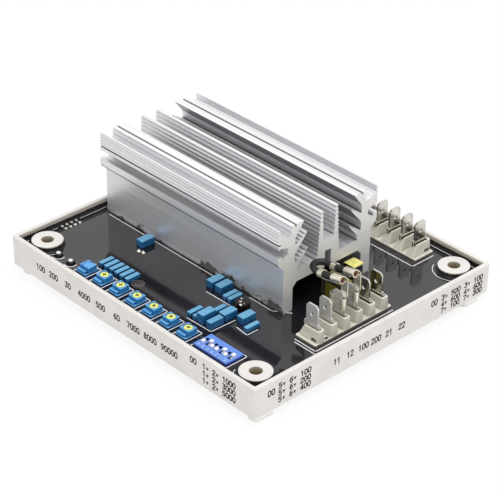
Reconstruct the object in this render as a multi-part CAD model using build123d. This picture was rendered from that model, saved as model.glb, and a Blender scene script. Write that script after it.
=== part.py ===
from build123d import *
from math import cos, hypot, radians, sin, tan
import os

# Automatic voltage regulator: a potted circuit board in a moulded tray, with a tall extruded
# heatsink, two blade terminal blocks, seven trimmers and a seven-way switch block.
# Millimetres. X runs along the long side, Y across, Z up. The origin lies under the middle of
# the tray, on the surface that the feet stand on.

# Tray
tray_length = 150.0
tray_width = 134.8
tray_height = 13.9
tray_wall = 2.0
tray_floor = 2.0
tray_corner_radius = 0.9
tray_draft = 0.1
rim_edge_radius = 0.5
hole_inset = 10.65
hole_diameter = 5.5
boss_diameter = 13.6
boss_drop = 1.5
foot_height = 3.7
foot_width = 6.0
foot_length = 11.0
foot_inset_x = 4.7
foot_inset_y = 7.9
ledge_height = 3.4
ledge_width = 1.4

# Board and resin
board_thickness = 1.6
board_gap = 0.3
resin_depth = 3.0
pocket_gap = 0.1

# Heatsink extrusion: drops and depths are from its top, half widths from its mid-plane
heatsink_inset = 6.0
heatsink_inset_y = 72.3
heatsink_wire_gap = 2.0
heatsink_height = 43.0
leg_thickness = 5.3
leg_spread = 19.6
web_thickness = 5.1
roof_chamfer = 2.2
nut_slot_half = 1.7
nut_slot_depth = 7.7
trough_depth = 22.0
middle_gap_depth = 13.3
middle_gap_half = 2.9
middle_gap_flare = 0.5
inner_wall_top = 2.1
inner_wall_foot = 3.6
side_wall_inner = 18.8
side_wall_top = 2.2
arm_reach = 3.2
arm_drop = 18.9
arm_foot_rise = 2.5
arm_belly = 0.5
channel_low_drop = 12.4
channel_high_drop = 8.6
channel_depth = 5.4
channel_back_low_drop = 12.2
channel_back_high_drop = 9.5
lower_jaw_width = 1.8
jaw_hook_width = 0.6
jaw_hook_depth = 1.3
upper_jaw_width = 1.2
upper_jaw_rise = 0.5
jaw_nose = 0.4
bead_thickness = 1.7
arm_notch_width = 0.9
arm_notch_depth = 1.7
arm_ripple_pitch = 1.5
arm_ripple_depth = 0.4
lip_thickness = 0.9
lip_depth = 2.7
pocket_depth = 5.0
ripple_pitch = 1.9
ripple_depth = 0.5
fin_ripple_pitch = 1.6
fin_ripple_depth = 0.4
top_notch_width = 1.2
top_notch_depth = 1.4

# The three fins on each side, from the top one down: reach from the side wall, drops from the top
fin_reaches = (4.4, 6.4, 6.9)
fin_root_drops = (0.1, 9.5, 17.7)
fin_tip_drops = (0.0, 5.7, 13.2)
fin_tip_thicknesses = (0.8, 1.5, 2.0)
fin_foot_drops = (5.9, 13.7, 19.6)
fin_tip_land = 1.2
trough_wall_inset = 2.0

# Fasteners
m3_shank = 2.9
m3_head = 5.4
m3_head_height = 2.0
m3_clearance = 0.25
heatsink_screw_length = 9.0
heatsink_screw_inset = 12.0
device_shank = 3.2
device_head = 5.6

# Power devices clamped under the roof
device_width = 15.8
device_length = 20.8
device_thickness = 5.0
device_spacing = 36.0
device_leg_pitch = 5.45
device_leg_width = 1.2
device_leg_thickness = 0.6
device_leg_reach = 4.0

# Blade terminal blocks
terminal_ways = 6
terminal_pitch = 7.25
terminal_inset_x = 8.8
terminal_offset_y = -9.55
rear_terminal_inset_y = 6.4
rear_terminal_hole_x = 36.9
flange_width = 11.4
flange_margin = 3.6
flange_height = 3.6
pod_height = 5.2
pod_foot_half = 5.5
pod_top_back = 2.8
pod_top_front = 5.4
pod_foot_width = 4.0
pod_top_width = 3.4
pod_back_radius = 0.4
pod_front_radius = 0.7
foot_window_length = 2.9
foot_window_height = 1.5
foot_window_depth = 1.0
foot_window_x = 3.0
flange_window_length = 1.3
flange_window_width = 2.0
flange_window_depth = 1.5
flange_window_x = 4.5
blade_width = 6.35
blade_thickness = 0.8
blade_height = 10.2
blade_shoulder = 1.3
blade_tip_inset = 1.1
blade_hole = 1.8
blade_hole_drop = 4.6
blade_root_width = 8.2
blade_root_rise = 1.8
blade_seat_depth = 0.8
blade_seat_end = 0.3
blade_seat_side = 0.6
blade_gap = 0.05

# Flag receptacles and the jumper wire between them
jumper_after_ways = 2
sheet_thickness = 0.4
receptacle_length = 6.2
receptacle_lift = 0.3
roll_radius = 1.3
roll_inset = 0.2
neck_width = 3.6
neck_inset = 0.2
neck_corner_radius = 1.2
neck_overlap = 0.5
back_rise = 1.0
barrel_inset = 1.6
barrel_height = 16.6
barrel_slope = 11.0
barrel_start = 1.2
barrel_radius = 1.7
barrel_length = 5.6
grip_radius = 1.9
grip_start = 10.4
grip_length = 2.5
seam_width = 1.0
seam_depth = 0.5
wire_diameter = 2.8
wire_core_diameter = 2.4
wire_strip_length = 6.0
wire_end_gap = 1.6
wire_exit = 0.8
wire_loop_reach = 1.6
wire_loop_rise = 0.4
wire_loop_corners = 4

# Wound parts in the mouth of the cavity
transformer_length = 11.2
transformer_width = 6.0
transformer_height = 14.4
transformer_gap_x = 7.7
transformer_offset_y = -1.9
choke_length = 5.6
choke_width = 5.8
choke_height = 12.9
choke_gap_x = 2.0
choke_offset_y = 13.4
choke_tape_drop = 0.8
tape_thickness = 0.25
core_leg_share = 0.28
core_yoke_share = 0.14

# Trimmers
trimmer_count = 7
trimmer_led_gap_x = 9.2
trimmer_switch_gap_x = 17.17
trimmer_inset_y = 10.0
trimmer_width = 5.9
trimmer_depth = 7.4
trimmer_height = 5.9
trimmer_flange = 0.15
trimmer_flange_drop = 2.4
trimmer_head_front = 1.9
trimmer_head_back = 0.6
trimmer_head_corner = 0.4
trimmer_head_edge = 0.2
trimmer_ledge_front = 0.4
trimmer_ledge_drop = 1.5
trimmer_ledge_short = 0.9
trimmer_ledge_radius = 0.35
trimmer_notch_width = 0.6
trimmer_notch_depth = 0.4
trimmer_notch_drop = 1.2
trimmer_notch_back = 1.3
trimmer_recess_diameter = 4.5
trimmer_recess_depth = 0.3
rotor_diameter = 3.75
rotor_thickness = 1.5
rotor_stem_diameter = 2.0
rotor_stem_length = 1.2
rotor_slot_length = 2.1
rotor_slot_width = 0.65
rotor_slot_depth = 0.9
rotor_clearance = 0.05
rotor_angles = (10, 0, 75, 35, 60, 20)

# Slide-switch block
switch_ways = 7
switch_pitch = 2.54
switch_hole_x = 21.68
switch_inset_y = 11.12
switch_length = 19.25
switch_width = 9.95
switch_height = 4.3
switch_lid = 0.8
slider_travel = 2.1
slider_width = 1.4
slider_knob_length = 1.6
slider_knob_rise = 0.8
slider_base_width = 1.8
slider_base_length = 2.6
slider_base_height = 1.2
slider_clearance = 0.1
slider_is_up = (False, True, False, False, True, False, True)

# Film capacitors: a film capacitor stands on the board, long side along Y
film_length = 7.2
film_thin = 2.4
film_medium = 3.0
film_thick = 4.0
film_low = 5.0
film_middle = 6.2
film_high = 7.5
film_edge_radius = 0.4
film_row_count = 6
film_row_pitch = 3.3
film_row_trimmer_x = 1.2
film_row_inset_y = 19.45
film_single_trimmer_x = 0.1
film_single_inset_y = 41.7
film_rear_switch_x = -36.27
film_rear_inset_y = 42.5
film_middle_switch_x = -25.97
film_middle_inset_y = 22.1
film_right_switch_x = -8.47
film_right_inset_y = 33.9
film_right_step = 5.7
film_right_setback = 2.4
film_rear_steps = (0.0, 5.2, 10.9, 13.7)
film_rear_setback = 1.7
film_middle_steps = (0.0, 3.3, 6.7, 11.8)
film_middle_back_steps = (5.5, 10.8)
film_middle_row_gap = 8.0

# Other small parts
electrolytic_diameter = 6.3
can_edge_radius = 0.4
score_width = 0.3
electrolytic_height = 6.4
electrolytic_switch_x = -16.07
electrolytic_inset_y = 39.0
led_diameter = 3.0
led_flange_diameter = 3.8
led_flange_height = 1.0
led_height = 4.9
led_hole_x = 10.15
led_pitch = 8.1
led_inset_y = 8.5
pin_diameter = 1.5
pin_pitch = 2.54
pin_rows = 4
pin_inset_x = 3.2
pin_middle_inset_y = 28.2
disc_diameter = 5.0
disc_thickness = 2.4
disc_lift = 1.0
disc_terminal_x = -11.0
disc_offset_y = -15.5

# Levels and places that follow from the sizes above
half_length = tray_length / 2
half_width = tray_width / 2
tray_underside = foot_height
floor_top = tray_underside + tray_floor
board_underside = floor_top + ledge_height
board_top = board_underside + board_thickness
resin_top = board_top + resin_depth
rim_top = tray_underside + tray_height
hole_spacing_x = tray_length - 2 * hole_inset
hole_spacing_y = tray_width - 2 * hole_inset
heatsink_offset_y = -half_width + heatsink_inset_y
leg_outer = leg_spread + leg_thickness
trough_floor = heatsink_height - trough_depth
roof_height = trough_floor - web_thickness
middle_gap_floor = heatsink_height - middle_gap_depth
arm_foot = heatsink_height - arm_drop
channel_low = heatsink_height - channel_low_drop
channel_high = heatsink_height - channel_high_drop
channel_back_low = heatsink_height - channel_back_low_drop
channel_back_high = heatsink_height - channel_back_high_drop
terminal_x = half_length - terminal_inset_x - flange_width / 2
terminal_middle_y = heatsink_offset_y + terminal_offset_y
rear_terminal_y = half_width - rear_terminal_inset_y - flange_width / 2
rear_terminal_middle_x = hole_spacing_x / 2 - rear_terminal_hole_x
blade_foot = board_top + flange_height + pod_height
roll_spread = blade_width / 2 - roll_inset
neck_side = roll_spread + roll_radius - neck_inset
neck_limits = (neck_side - neck_width, neck_side)
barrel_x = roll_spread - barrel_inset + barrel_start
barrel_reach = grip_start + grip_length + wire_exit
jumper_radius = terminal_pitch / 2
jumper_bend_reach = wire_loop_reach + jumper_radius + wire_diameter / 2
jumper_reach = barrel_reach * cos(radians(barrel_slope)) + jumper_bend_reach
heatsink_start = -half_length + heatsink_inset
heatsink_end = terminal_x + barrel_x - jumper_reach - heatsink_wire_gap
heatsink_length = heatsink_end - heatsink_start
transformer_x = heatsink_end + transformer_gap_x
transformer_y = heatsink_offset_y + transformer_offset_y
choke_x = heatsink_end + choke_gap_x
choke_y = heatsink_offset_y + choke_offset_y
disc_x = terminal_x + disc_terminal_x
disc_y = heatsink_offset_y + disc_offset_y
led_first_x = -hole_spacing_x / 2 + led_hole_x
led_y = -half_width + led_inset_y
switch_middle_x = hole_spacing_x / 2 - switch_hole_x
switch_y = -half_width + switch_inset_y
trimmer_first_x = led_first_x + led_pitch + trimmer_led_gap_x
trimmer_last_x = switch_middle_x - trimmer_switch_gap_x
trimmer_pitch = (trimmer_last_x - trimmer_first_x) / (trimmer_count - 1)
trimmer_y = -half_width + trimmer_inset_y
electrolytic_x = switch_middle_x + electrolytic_switch_x
electrolytic_y = -half_width + electrolytic_inset_y


def block(x_limits, y_limits, z_limits):
    """A box between three pairs of limits."""
    size = [limits[1] - limits[0] for limits in (x_limits, y_limits, z_limits)]
    middle = [(limits[0] + limits[1]) / 2 for limits in (x_limits, y_limits, z_limits)]
    return Pos(*middle) * Box(*size)


def post(x, y, z_limits, diameter):
    """An upright cylinder between two levels."""
    height = z_limits[1] - z_limits[0]
    return Pos(x, y, z_limits[0] + height / 2) * Cylinder(diameter / 2, height)


def around(middle, size):
    """A pair of limits either side of a middle."""
    return (middle - size / 2, middle + size / 2)


def boss_places():
    """The four hole centres of the tray."""
    return [(sx * hole_spacing_x / 2, sy * hole_spacing_y / 2) for sx in (-1, 1) for sy in (-1, 1)]


# Tray
def make_tray():
    rim = RectangleRounded(tray_length, tray_width, tray_corner_radius)
    foot_size = (tray_length - 2 * tray_draft, tray_width - 2 * tray_draft)
    foot_radius = tray_corner_radius - tray_draft
    foot_outline = RectangleRounded(*foot_size, foot_radius)
    tray = loft([Pos(0, 0, tray_underside) * foot_outline, Pos(0, 0, rim_top) * rim], ruled=True)
    inner_radius = max(tray_corner_radius - tray_wall, 0.5)
    inner = RectangleRounded(tray_length - 2 * tray_wall, tray_width - 2 * tray_wall, inner_radius)
    tray -= Pos(0, 0, floor_top) * extrude(inner, amount=tray_height)
    rim_edges = tray.edges().group_by(Axis.Z)[-1]
    tray = fillet(rim_edges, min(rim_edge_radius, tray_wall / 4))
    ledge = inner - RectangleRounded(
        tray_length - 2 * (tray_wall + ledge_width),
        tray_width - 2 * (tray_wall + ledge_width),
        inner_radius,
    )
    tray += Pos(0, 0, floor_top) * extrude(ledge, amount=ledge_height)
    for x, y in boss_places():
        tray += post(x, y, (floor_top, rim_top - boss_drop), boss_diameter)
    for sx in (-1, 1):
        for sy in (-1, 1):
            foot = SlotOverall(foot_length, foot_width, rotation=90)
            place = Pos(sx * (half_length - foot_inset_x), sy * (half_width - foot_inset_y), 0)
            tray += place * extrude(foot, amount=foot_height)
    for x, y in boss_places():
        tray -= post(x, y, (0, rim_top), hole_diameter)
    return tray


# Board and resin
def boss_notches():
    """Corner cut-outs of the board, round where they pass the bosses."""
    radius = boss_diameter / 2 + board_gap
    reach = 2 * (hole_inset + radius)
    cuts = Sketch()
    for x, y in boss_places():
        sx = 1 if x > 0 else -1
        sy = 1 if y > 0 else -1
        middle = Pos(x - sx * radius + sx * reach / 2, y - sy * radius + sy * reach / 2)
        cuts += middle * RectangleRounded(reach, reach, radius)
    return cuts


def make_board():
    length = tray_length - 2 * (tray_wall + board_gap)
    width = tray_width - 2 * (tray_wall + board_gap)
    outline = Rectangle(length, width) - boss_notches()
    board = Pos(0, 0, board_underside) * extrude(outline, amount=board_thickness)
    for x, y in heatsink_screw_places():
        board -= post(x, y, (board_underside, board_top), m3_shank + 2 * m3_clearance)
    return board


def make_resin():
    inner = Rectangle(tray_length - 2 * tray_wall, tray_width - 2 * tray_wall)
    inner = fillet(inner.vertices(), max(tray_corner_radius - tray_wall, 0.5) + pocket_gap)
    for x, y in boss_places():
        inner -= Pos(x, y) * Circle(boss_diameter / 2 + pocket_gap)
    for footprint in resin_footprints():
        inner -= footprint
    return Pos(0, 0, board_top) * extrude(inner, amount=resin_depth)


def resin_footprints():
    """Outlines of everything that rises through the resin, each with the pocket gap."""
    prints = []

    def rectangle(x, y, width, depth):
        prints.append(Pos(x, y) * Rectangle(width + 2 * pocket_gap, depth + 2 * pocket_gap))

    def circle(x, y, diameter):
        prints.append(Pos(x, y) * Circle(diameter / 2 + pocket_gap))

    for side in (-1, 1):
        leg_middle = heatsink_offset_y + side * (leg_spread + leg_thickness / 2)
        rectangle(heatsink_start + heatsink_length / 2, leg_middle, heatsink_length, leg_thickness)
    rectangle(terminal_x, terminal_middle_y, flange_width, flange_span())
    rectangle(rear_terminal_middle_x, rear_terminal_y, flange_span(), flange_width)
    for x in trimmer_places():
        rectangle(x, trimmer_y, trimmer_width, trimmer_depth)
    rectangle(switch_middle_x, switch_y, switch_length, switch_width)
    for group in film_groups().values():
        for x, y, thickness, height in group:
            rectangle(x, y, thickness, film_length)
    rectangle(transformer_x, transformer_y, transformer_length, transformer_width)
    rectangle(choke_x, choke_y, choke_length, choke_width)
    rectangle(disc_x, disc_y, disc_diameter, disc_thickness)
    circle(electrolytic_x, electrolytic_y, electrolytic_diameter)
    for x in led_places():
        circle(x, led_y, led_flange_diameter)
    for x, y in pin_places():
        circle(x, y, pin_diameter)
    for device_x in device_places():
        for leg_x, leg_y in device_leg_feet(device_x):
            rectangle(leg_x, leg_y, device_leg_width, device_leg_thickness)
    return prints


# Heatsink
def ripples(start, end, pitch, depth):
    """A grooved face from start to end, cut to the left of the way. The long slopes face up."""
    length = hypot(end[0] - start[0], end[1] - start[1])
    along = ((end[0] - start[0]) / length, (end[1] - start[1]) / length)
    left = (-along[1], along[0])
    count = max(1, round(length / pitch))
    step = length / count
    crest, slope_end, valley_end = 0.08, 0.58, 0.76
    groove_shape = [(crest, 0), (slope_end, depth), (valley_end, depth)]
    if end[1] < start[1]:
        groove_shape = [(1 - share, cut) for share, cut in reversed(groove_shape)]
    points = [start]
    for groove in range(count):
        for share, cut in (*groove_shape, (1, 0)):
            way = (groove + share) * step
            u = start[0] + along[0] * way + left[0] * cut
            h = start[1] + along[1] * way + left[1] * cut
            points.append((u, h))
    return points


def fin(number):
    """An inclined tapered fin; below the top one, its upper face is rippled short of the tip."""
    wall = side_wall_inner
    top = heatsink_height
    root_high = (wall + 0.1, top - fin_root_drops[number])
    tip_high = (wall - fin_reaches[number], top - fin_tip_drops[number])
    tip_thickness = fin_tip_thicknesses[number]
    tip_low = (tip_high[0] + tip_thickness * 0.6, tip_high[1] - tip_thickness)
    foot = (wall, top - fin_foot_drops[number])
    if number == 0:
        return [tip_high, tip_low, foot]
    length = hypot(tip_high[0] - root_high[0], tip_high[1] - root_high[1])
    share = 1 - fin_tip_land / length
    land = (
        root_high[0] + share * (tip_high[0] - root_high[0]),
        root_high[1] + share * (tip_high[1] - root_high[1]),
    )
    return [*ripples(root_high, land, fin_ripple_pitch, fin_ripple_depth), tip_high, tip_low, foot]


def arm_outline():
    """Outside of a leg and its arm, from the foot up to the lip, as (distance, height)."""
    arm_outer = leg_outer + arm_reach
    channel_back = arm_outer - channel_depth
    belly = (arm_outer - arm_belly, arm_foot + arm_foot_rise)
    points = [(leg_outer, 0), (leg_outer, arm_foot), belly, (arm_outer, belly[1] + 2 * arm_belly)]
    # The channel opens outwards between two jaws, and the lower one has a hook behind it
    jaw_inner = arm_outer - lower_jaw_width
    points += [(arm_outer, channel_low), (jaw_inner, channel_low)]
    points += [(jaw_inner - jaw_hook_width, channel_low - jaw_hook_depth)]
    points += [(channel_back, channel_back_low), (channel_back, channel_back_high)]
    points += [(arm_outer - upper_jaw_width, channel_high + upper_jaw_rise)]
    points += [(arm_outer - jaw_nose, channel_high), (arm_outer, channel_high + jaw_nose)]
    bead_top = channel_high + bead_thickness
    points += [(arm_outer, bead_top - jaw_nose / 2), (arm_outer - jaw_nose / 2, bead_top)]
    notch_top = bead_top + arm_notch_width
    points += [(arm_outer - arm_notch_depth, (bead_top + notch_top) / 2)]
    arm_top = (arm_outer, heatsink_height)
    points += ripples((arm_outer, notch_top), arm_top, arm_ripple_pitch, arm_ripple_depth)
    return points


def half_section():
    """Right half of the extrusion's section, as (distance from the mid-plane, height)."""
    arm_outer = leg_outer + arm_reach
    side_wall_outer = side_wall_inner + side_wall_top
    wall = side_wall_inner
    top = heatsink_height
    points = [(nut_slot_half, roof_height + nut_slot_depth), (nut_slot_half, roof_height)]
    points += [(leg_spread - roof_chamfer, roof_height), (leg_spread, roof_height - roof_chamfer)]
    points += [(leg_spread, 0), *arm_outline()]
    points += [(arm_outer - lip_thickness, top), (arm_outer - lip_thickness * 1.2, top - lip_depth)]
    points += [(side_wall_outer + 1.2, top - pocket_depth)]
    pocket_foot = (side_wall_outer + 0.3, top - pocket_depth + 0.3)
    points += ripples(pocket_foot, (side_wall_outer, top - 0.3), ripple_pitch, ripple_depth)
    # A notch parts the side wall's top from the highest of the fins that rise over the trough
    points += [(side_wall_outer - 0.3, top), (wall + top_notch_width / 2, top)]
    points += [(wall, top - top_notch_depth), (wall - top_notch_width / 2, top - fin_root_drops[0])]
    for number in range(len(fin_reaches)):
        points += fin(number)
    points[-1] = (wall - trough_wall_inset, points[-1][1])
    points += [(wall - trough_wall_inset, trough_floor)]
    points += [(middle_gap_half + inner_wall_foot, trough_floor)]
    wall_foot = (middle_gap_half + inner_wall_foot - 0.1, trough_floor + 1.6)
    wall_top = (middle_gap_half + inner_wall_top, top - 0.4)
    points += ripples(wall_foot, wall_top, ripple_pitch, ripple_depth)
    gap_top = middle_gap_half + middle_gap_flare
    points += [(wall_top[0] - 0.2, top), (gap_top + 0.2, top)]
    gap_foot = (middle_gap_half, middle_gap_floor + 1.4)
    points += ripples((gap_top, top - 0.4), gap_foot, ripple_pitch, ripple_depth)
    points += [(middle_gap_half, middle_gap_floor)]
    return points


def make_heatsink():
    right = half_section()
    left = [(-u, h) for u, h in reversed(right)]
    section = make_face(Polyline(*(right + left), close=True))
    bar = extrude(Plane.YZ * section, amount=heatsink_length)
    heatsink = Pos(heatsink_start, heatsink_offset_y, board_top) * bar
    for x, y in heatsink_screw_places():
        bore = m3_shank + 2 * m3_clearance
        depth = heatsink_screw_length - board_thickness + 1
        heatsink -= post(x, y, (board_top, board_top + depth), bore)
    return heatsink


def heatsink_screw_places():
    """Two screws into each leg."""
    ends = (heatsink_start + heatsink_screw_inset, heatsink_end - heatsink_screw_inset)
    legs = [heatsink_offset_y + side * (leg_spread + leg_thickness / 2) for side in (-1, 1)]
    return [(x, y) for x in ends for y in legs]


def make_heatsink_screw(x, y):
    """Pan head screw from below the board, with a cross recess."""
    head = post(x, y, (board_underside - m3_head_height, board_underside), m3_head)
    head = fillet(head.edges().group_by(Axis.Z)[0], m3_head_height * 0.35)
    screw = head + post(x, y, (board_underside, board_underside + heatsink_screw_length), m3_shank)
    for angle in (0, 90):
        slot = Rot(0, 0, angle) * Box(m3_head * 0.5, 0.7, m3_head_height)
        screw -= Pos(x, y, board_underside - m3_head_height) * slot
    return screw


# Power devices
def device_places():
    middle = heatsink_start + heatsink_length / 2
    return [middle - device_spacing / 2, middle + device_spacing / 2]


def device_leg_feet(device_x):
    """Where the three legs of a device pass through the resin."""
    y = heatsink_offset_y - device_length / 2 - device_leg_reach
    return [(device_x + way * device_leg_pitch, y) for way in (-1, 0, 1)]


def make_power_device(device_x):
    roof = board_top + roof_height
    low = roof - device_thickness
    y_middle = heatsink_offset_y
    body = block(around(device_x, device_width), around(y_middle, device_length), (low, roof))
    body = chamfer(body.edges().filter_by(Axis.Z), 0.8)
    body -= post(device_x, y_middle, (low, roof), device_shank + 2 * m3_clearance)
    leg_top = roof - device_thickness / 2
    for x, y in device_leg_feet(device_x):
        run_limits = (y - device_leg_thickness / 2, y_middle - device_length / 2)
        level = around(leg_top, device_leg_thickness)
        body += block(around(x, device_leg_width), run_limits, level)
        drop = (board_top, leg_top + device_leg_thickness / 2)
        body += block(around(x, device_leg_width), around(y, device_leg_thickness), drop)
    return body


def make_device_screw(device_x):
    head_top = board_top + roof_height - device_thickness
    head = post(device_x, heatsink_offset_y, (head_top - m3_head_height, head_top), device_head)
    head = fillet(head.edges().group_by(Axis.Z)[0], m3_head_height * 0.35)
    tip = head_top + device_thickness + nut_slot_depth - 1
    screw = head + post(device_x, heatsink_offset_y, (head_top, tip), device_shank)
    screw -= Pos(device_x, heatsink_offset_y, head_top - m3_head_height) * Box(device_head, 0.8, 1.6)
    return screw


# Terminal blocks, built along Y with the slanted ends of the pods towards -X
def flange_span():
    return (terminal_ways - 1) * terminal_pitch + 2 * flange_margin


def way_offsets():
    """Distance of each blade from the middle of its block."""
    first = -(terminal_ways - 1) * terminal_pitch / 2
    return [first + way * terminal_pitch for way in range(terminal_ways)]


def make_terminal_housing():
    flange = Box(flange_width, flange_span(), flange_height)
    housing = Pos(0, 0, flange_height / 2) * flange
    housing = fillet(housing.edges().filter_by(Axis.Z), 0.6)
    top = flange_height + pod_height
    for y in way_offsets():
        foot = Plane.XY.offset(flange_height) * Rectangle(2 * pod_foot_half, pod_foot_width)
        top_middle = (pod_top_front - pod_top_back) / 2
        top_length = pod_top_front + pod_top_back
        head = Pos(top_middle, 0, top) * Rectangle(top_length, pod_top_width)
        pod = loft([foot, head])
        upright = pod.edges().filter_by_position(Axis.Z, flange_height + 1, top - 1).sort_by(Axis.X)
        pod = fillet(upright[:2], pod_back_radius)
        upright = pod.edges().filter_by_position(Axis.Z, flange_height + 1, top - 1).sort_by(Axis.X)
        pod = fillet(upright[-2:], pod_front_radius)
        housing += Pos(0, y, 0) * pod
        seat_size = (blade_root_width + 2 * blade_seat_end, blade_thickness + 2 * blade_seat_side)
        housing -= Pos(0, y, top) * Box(*seat_size, 2 * blade_seat_depth)
        slit = Box(blade_width + 2 * blade_gap, blade_thickness + 2 * blade_gap, 2 * top)
        housing -= Pos(0, y, 0) * slit
    # Two moulding windows by the first pod, one at its foot and one in the flange behind it
    first_y = way_offsets()[0]
    foot_window = Box(foot_window_length, 2 * foot_window_depth, foot_window_height)
    window_z = flange_height + foot_window_height / 2
    housing -= Pos(foot_window_x, first_y - pod_foot_width / 2, window_z) * foot_window
    flange_window = Box(flange_window_length, flange_window_width, 2 * flange_window_depth)
    housing -= Pos(flange_window_x, first_y + terminal_pitch / 2, flange_height) * flange_window
    return housing


def make_blade():
    """One tab, with a shouldered tip, a locking hole and a wider root in its seat."""
    half = blade_width / 2
    pod_top = flange_height + pod_height
    tip = pod_top + blade_height
    root_low = pod_top - blade_seat_depth
    root_high = pod_top + blade_root_rise
    root_half = blade_root_width / 2
    narrow = half - blade_tip_inset
    right = [(half, 0), (half, root_low), (root_half, root_low), (root_half, root_high - 0.2)]
    right += [(half, root_high), (half, tip - blade_shoulder), (narrow, tip)]
    left = [(-x, z) for x, z in reversed(right)]
    outline = make_face(Polyline(*(right + left), close=True))
    outline = fillet(outline.vertices().group_by(Axis.Y)[-2], blade_shoulder * 0.6)
    outline = fillet(outline.vertices().group_by(Axis.Y)[-1], blade_shoulder * 0.3)
    outline -= Pos(0, tip - blade_hole_drop) * Circle(blade_hole / 2)
    return extrude(Plane.XZ * outline, amount=blade_thickness / 2, both=True)


def front_block_place():
    return Pos(terminal_x, terminal_middle_y, board_top)


def rear_block_place():
    return Pos(rear_terminal_middle_x, rear_terminal_y, board_top) * Rot(0, 0, 90)


# Flag receptacles and the jumper wire between them
def receptacle_section():
    """Plan of the spring sheet: a flat back on one face of the blade and two rolled sides."""
    back_inner = blade_thickness / 2 + blade_gap
    section = Pos(0, back_inner + sheet_thickness / 2) * Rectangle(2 * roll_spread, sheet_thickness)
    roll_y = back_inner + sheet_thickness - roll_radius
    for side in (-1, 1):
        ring = Circle(roll_radius) - Circle(roll_radius - sheet_thickness)
        quarter = Pos(-side * roll_radius / 2, roll_radius / 2) * Rectangle(roll_radius, roll_radius)
        section += Pos(side * roll_spread, roll_y) * (ring - quarter)
    return section


def barrel_origin():
    """Where the crimp barrel leaves the neck, from the middle of the blade's foot."""
    back_outer = blade_thickness / 2 + blade_gap + sheet_thickness
    return (barrel_x, back_outer - barrel_radius)


def crimp_section(radius):
    """A rolled tube with a seam along its top, where its two edges curl in."""
    seam_half = seam_width / 2
    seam = Polyline((-seam_half, radius), (0, radius - seam_depth), (seam_half, radius), close=True)
    rolled = Circle(radius) - Circle(radius - sheet_thickness)
    return rolled - make_face(seam)


def make_flag_receptacle():
    """Spring sheet on the blade, a neck up one side and a crimp barrel that points to -X."""
    low = blade_root_rise + receptacle_lift
    back_limits = (blade_thickness / 2 + blade_gap, blade_thickness / 2 + blade_gap + sheet_thickness)
    sheet = Pos(0, 0, low) * extrude(receptacle_section(), amount=receptacle_length)
    back_top = low + receptacle_length + back_rise
    sheet += block((neck_limits[0], roll_spread), back_limits, (low, back_top))
    neck_heights = (back_top - neck_overlap, barrel_height + barrel_radius / 2)
    neck = block(neck_limits, back_limits, neck_heights)
    sheet += fillet(neck.edges().filter_by(Axis.Y).group_by(Axis.Z)[-1], neck_corner_radius)
    crimp = extrude(Plane.YZ * crimp_section(barrel_radius), amount=-barrel_length)
    crimp += Pos(-grip_start, 0, 0) * extrude(Plane.YZ * crimp_section(grip_radius), amount=-grip_length)
    strip_limits = (-grip_start - grip_length / 2, -barrel_length / 2)
    strip_low = -grip_radius
    crimp += block(strip_limits, around(0, barrel_radius), (strip_low, strip_low + sheet_thickness))
    x, y = barrel_origin()
    sheet += Pos(x, y, barrel_height) * (Rot(0, -barrel_slope, 0) * crimp)
    return sheet


def jumper_blade_ys():
    offsets = way_offsets()[jumper_after_ways:jumper_after_ways + 2]
    return [terminal_middle_y + offset for offset in offsets]


def barrel_point(blade_y, distance):
    """A point on the axis of a receptacle's barrel, at a distance from its end on the neck."""
    x, y = barrel_origin()
    slope = radians(barrel_slope)
    height = blade_foot + barrel_height - distance * sin(slope)
    return (terminal_x + x - distance * cos(slope), blade_y + y, height)


def jumper_route():
    """Centre line of the wire: out of one barrel, round a tight turn and into the other."""
    near, far = jumper_blade_ys()
    near_exit = barrel_point(near, barrel_reach)
    far_exit = barrel_point(far, barrel_reach)
    turn_x = near_exit[0] - wire_loop_reach
    turn_y = (near_exit[1] + far_exit[1]) / 2
    turn_z = near_exit[2] + wire_loop_rise
    share = 180 / wire_loop_corners
    corner_reach = jumper_radius / cos(radians(share / 2))
    turn = []
    for corner in range(wire_loop_corners):
        angle = radians(share * (corner + 0.5))
        turn.append((turn_x - corner_reach * sin(angle), turn_y - corner_reach * cos(angle), turn_z))
    start = barrel_point(near, wire_strip_length)
    end = barrel_point(far, wire_strip_length)
    return [start, near_exit, *turn, far_exit, end]


def corner_radii(route):
    """Arcs as large as the two runs at each corner allow."""
    share = 0.45
    radii = []
    for before, corner, after in zip(route, route[1:], route[2:]):
        run_in = Vector(*corner) - Vector(*before)
        run_out = Vector(*after) - Vector(*corner)
        turn = radians(run_in.get_angle(run_out))
        radii.append(share * min(run_in.length, run_out.length) / tan(turn / 2))
    return radii


def make_jumper_wire():
    route = jumper_route()
    radii = corner_radii(route)
    print("jumper wire radii", [round(radius, 2) for radius in radii])
    path = FilletPolyline(*route, radius=radii)
    start_plane = Plane(origin=path @ 0, z_dir=path % 0)
    return sweep(start_plane * Circle(wire_diameter / 2), path=path)


def make_wire_strands(blade_y):
    """Bare strands between the end of the insulation and the mouth of the barrel."""
    inner = Vector(*barrel_point(blade_y, wire_strip_length))
    outer = Vector(*barrel_point(blade_y, wire_end_gap))
    plane = Plane(origin=inner, z_dir=outer - inner)
    return extrude(plane * Circle(wire_core_diameter / 2), amount=(outer - inner).length)


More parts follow.
